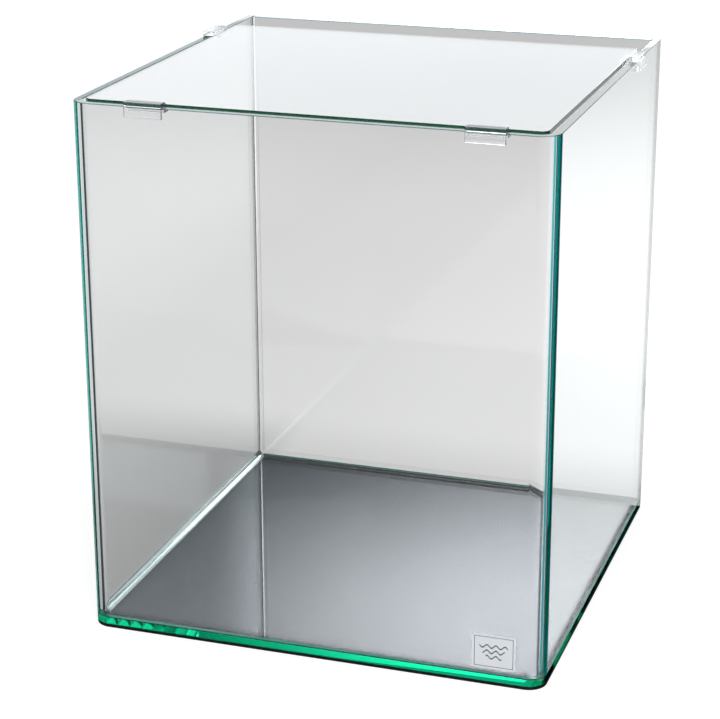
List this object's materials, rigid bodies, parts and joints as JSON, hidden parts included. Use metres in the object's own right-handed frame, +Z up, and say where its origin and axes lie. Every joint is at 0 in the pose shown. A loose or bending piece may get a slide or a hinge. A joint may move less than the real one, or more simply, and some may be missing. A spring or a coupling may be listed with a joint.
{
  "type": "nano aquarium",
  "caption": "Small glued glass aquarium with a bent rounded front, foam mat, loose cover glass resting on clear rim clips and an open gap along the back.",
  "frame": {"origin": "centre of the tank's footprint on the underside of the foam mat", "axes": "+X to the right along the front, +Y from the bent front towards the rear pane, +Z up"},
  "size_m": [0.3042, 0.3021, 0.348],
  "materials": {
    "glass": "clear polished float glass, faint green",
    "base_glass": "clear float glass, emerald on its edge",
    "cover_glass": "clear float glass with ground edges",
    "silicone": "clear silicone, smooth",
    "clip_plastic": "clear moulded plastic, glossy",
    "foam": "black closed-cell foam, matte",
    "label_film": "pale satin film"
  },
  "bodies": {
    "tank": {"bent_glass_wall": "glass", "rear_pane": "glass", "bottom_plate": "base_glass", "foam_mat": "foam", "wall_base_seam": "silicone", "rear_base_seam": "silicone", "rear_left_seam": "silicone", "rear_right_seam": "silicone", "label": "label_film"},
    "cover": {"cover_glass": "cover_glass"},
    "front_left_clip": {"front_left_clip": "clip_plastic"},
    "front_right_clip": {"front_right_clip": "clip_plastic"},
    "left_side_clip": {"left_side_clip": "clip_plastic"},
    "right_side_clip": {"right_side_clip": "clip_plastic"}
  },
  "joints": [
    {"name": "cover_lift", "type": "slide", "parent": "tank", "child": "cover", "axis": [0, 0, 1], "range_m": [0, 0.08]},
    {"name": "front_left_clip_slide", "type": "slide", "parent": "tank", "child": "front_left_clip", "axis": [1, 0, 0], "range_m": [-0.0225, 0.085]},
    {"name": "front_right_clip_slide", "type": "slide", "parent": "tank", "child": "front_right_clip", "axis": [1, 0, 0], "range_m": [-0.093, 0.0145]},
    {"name": "left_side_clip_slide", "type": "slide", "parent": "tank", "child": "left_side_clip", "axis": [0, 1, 0], "range_m": [-0.2, 0.045]},
    {"name": "right_side_clip_slide", "type": "slide", "parent": "tank", "child": "right_side_clip", "axis": [0, 1, 0], "range_m": [-0.2, 0.045]}
  ]
}
